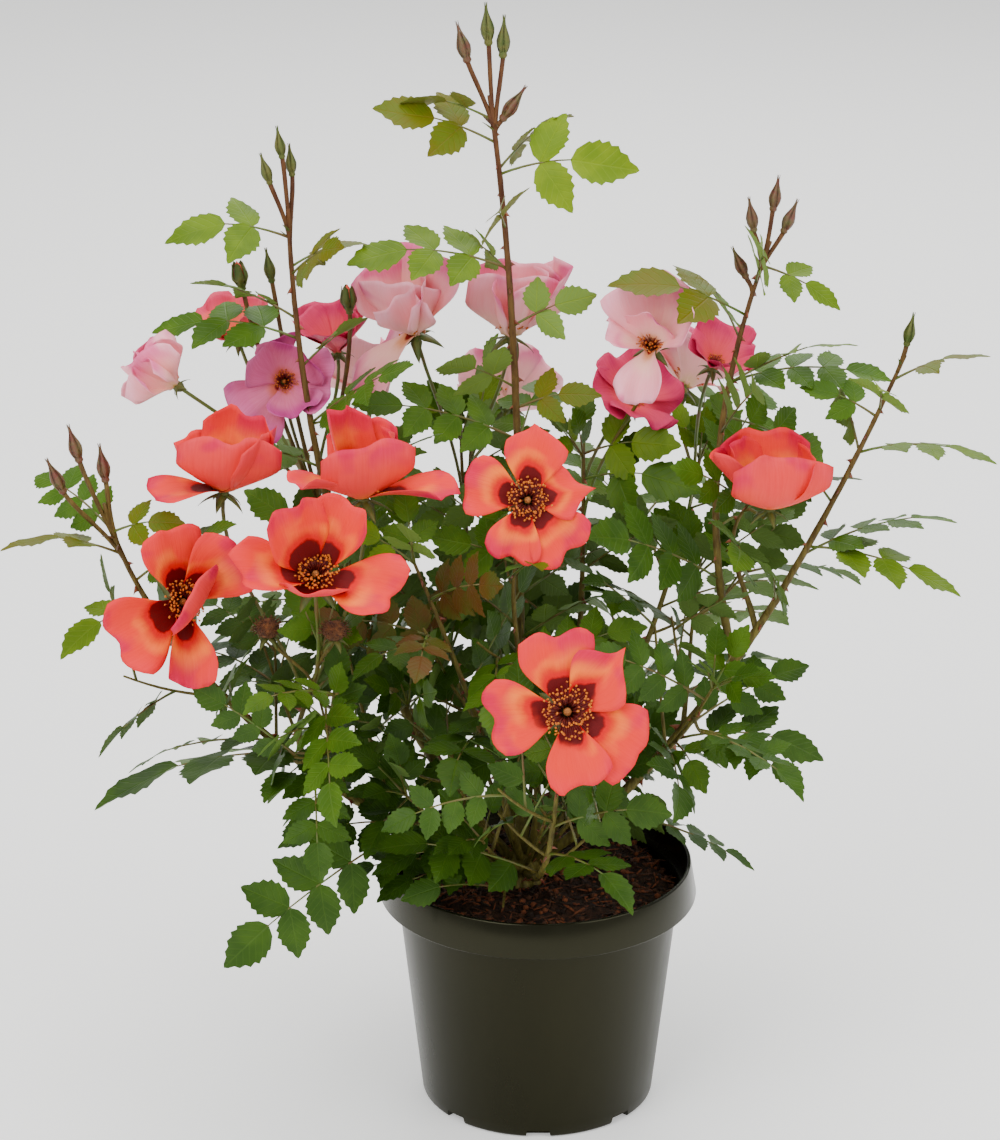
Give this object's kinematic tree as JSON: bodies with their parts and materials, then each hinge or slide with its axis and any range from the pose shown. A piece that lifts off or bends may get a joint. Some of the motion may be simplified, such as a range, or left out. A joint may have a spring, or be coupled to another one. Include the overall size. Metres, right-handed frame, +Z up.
{
  "type": "potted rose bush",
  "caption": "Patio rose bush with bare thorny canes, compound leaves, open flowers and buds, in a round black nursery pot of soil.",
  "frame": {"origin": "centre of the flat underside of the pot", "axes": "+Z up, -Y towards the side the bush is shown from, +X to the right of that side"},
  "size_m": [0.6269, 0.4244, 0.7258],
  "materials": {
    "pot_plastic": "moulded black plastic, satin gloss",
    "potting_mix": "moist composted bark, matt",
    "bark": "young green-brown bark with dark red thorns",
    "foliage": "living leaves, satin, with coral and pink flowers"
  },
  "bodies": {
    "root": {"pot": "pot_plastic", "soil": "potting_mix", "crown": "bark", "left_low_cane": "bark", "left_tall_cane": "bark", "young_cane": "bark", "centre_tall_cane": "bark", "mid_cane": "bark", "front_cane": "bark", "right_cane": "bark", "mid_right_cane": "bark", "back_left_cane": "bark", "back_cane": "bark", "back_right_cane": "bark", "left_low_foliage": "foliage", "left_tall_foliage": "foliage", "young_foliage": "foliage", "centre_tall_foliage": "foliage", "mid_foliage": "foliage", "front_foliage": "foliage", "right_foliage": "foliage", "mid_right_foliage": "foliage", "back_left_foliage": "foliage", "back_foliage": "foliage", "back_right_foliage": "foliage", "left_mid_foliage": "foliage", "upright_foliage": "foliage", "inner_foliage": "foliage", "low_left_spray": "foliage", "low_front_left_spray": "foliage", "low_front_spray": "foliage", "low_right_spray": "foliage", "low_east_spray": "foliage", "low_back_right_spray": "foliage", "low_back_spray": "foliage", "low_back_left_spray": "foliage", "left_inside_spray": "foliage", "left_outside_spray": "foliage", "right_outside_spray": "foliage", "right_inside_spray": "foliage"}
  },
  "joints": []
}
